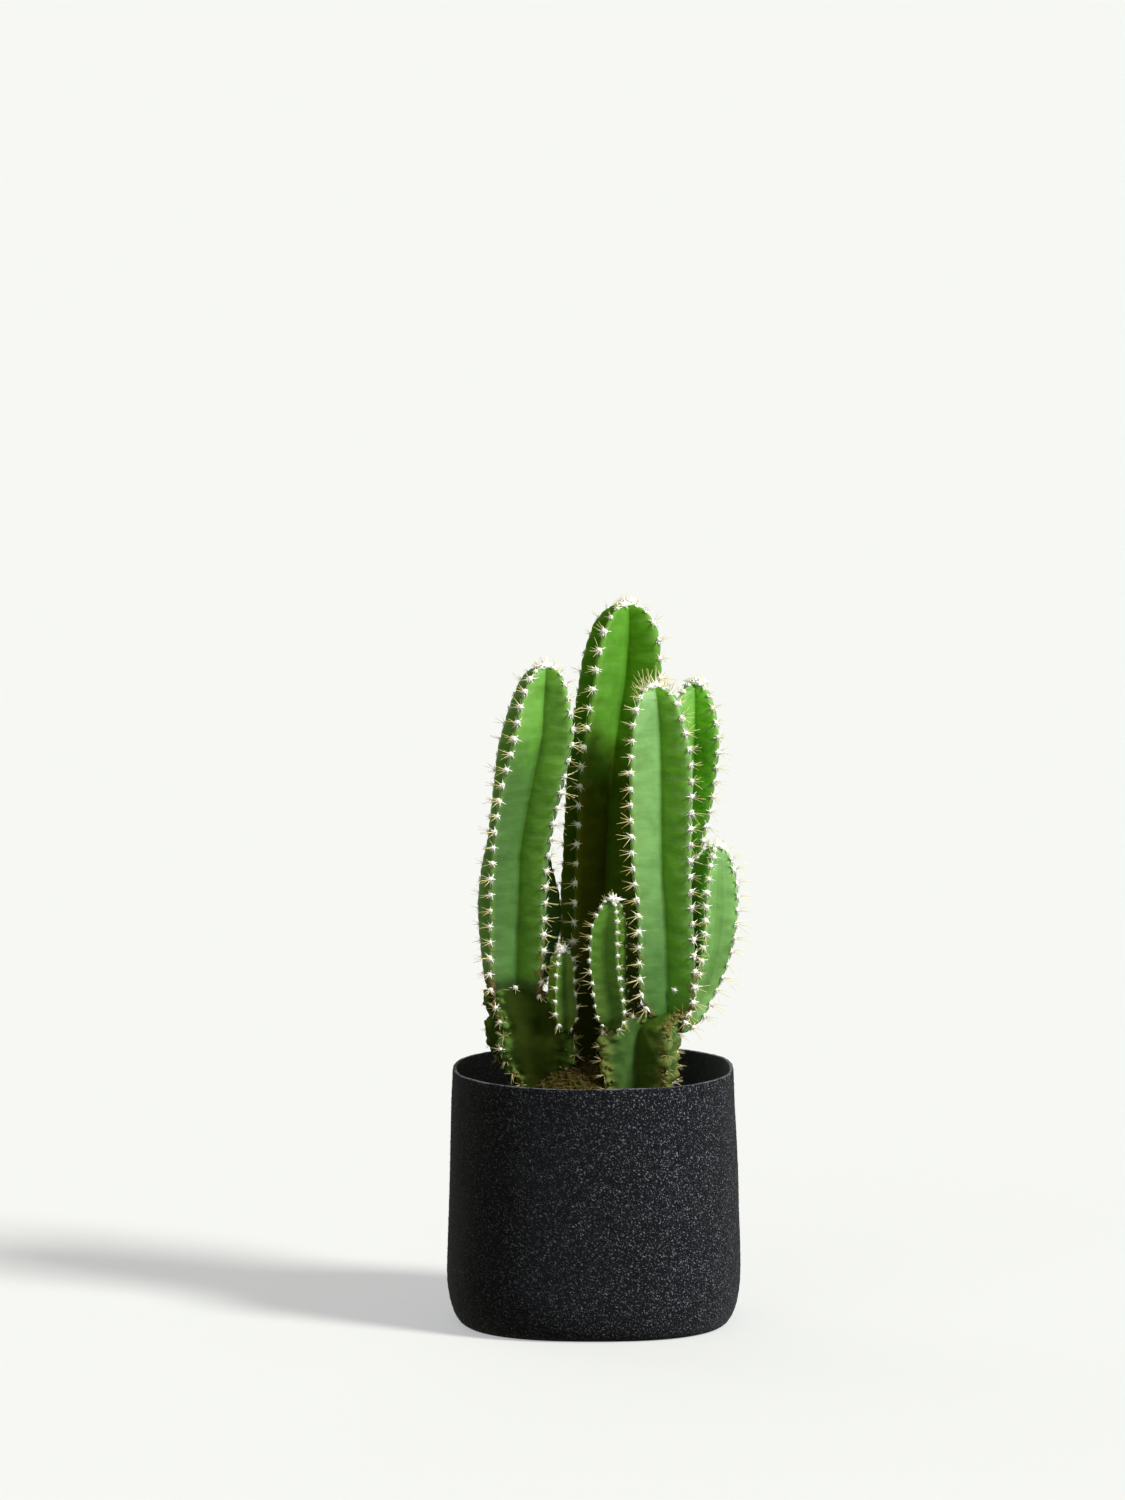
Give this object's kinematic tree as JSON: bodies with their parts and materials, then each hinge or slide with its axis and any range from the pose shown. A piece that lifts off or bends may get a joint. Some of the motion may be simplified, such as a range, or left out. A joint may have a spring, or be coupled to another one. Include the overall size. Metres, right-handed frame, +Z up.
{
  "type": "potted florida cereus",
  "caption": "Clump of upright, ribbed, spiny cactus stems rooted in soil, in a plastic growing pot that stands in a soft charcoal felt pot.",
  "frame": {"origin": "middle of the felt pot's foot, on the surface that it stands on", "axes": "+Z up, +X to the viewer's right, +Y away from the viewer"},
  "size_m": [0.13, 0.13, 0.3174],
  "materials": {
    "felt": "matt charcoal needled felt with pale loose fibres",
    "pot_plastic": "thin black moulded polypropylene, satin",
    "soil": "brown fibrous peat and coir, matt and crumbly",
    "old_stem": "older dark green cactus skin with corky brown ribs",
    "green_stem": "fresh green waxy cactus skin, soft satin",
    "spine": "pale straw to golden spines",
    "wool": "white woolly tufts of the areoles"
  },
  "bodies": {
    "root": {"felt_pot": "felt", "nursery_pot": "pot_plastic", "soil": "soil", "left_base_stem": "old_stem", "right_base_stem": "old_stem", "left_stem": "green_stem", "back_tall_stem": "green_stem", "front_right_stem": "green_stem", "back_right_stem": "green_stem", "low_right_stem": "green_stem", "small_middle_stem": "green_stem", "small_left_stem": "green_stem"}
  },
  "joints": []
}
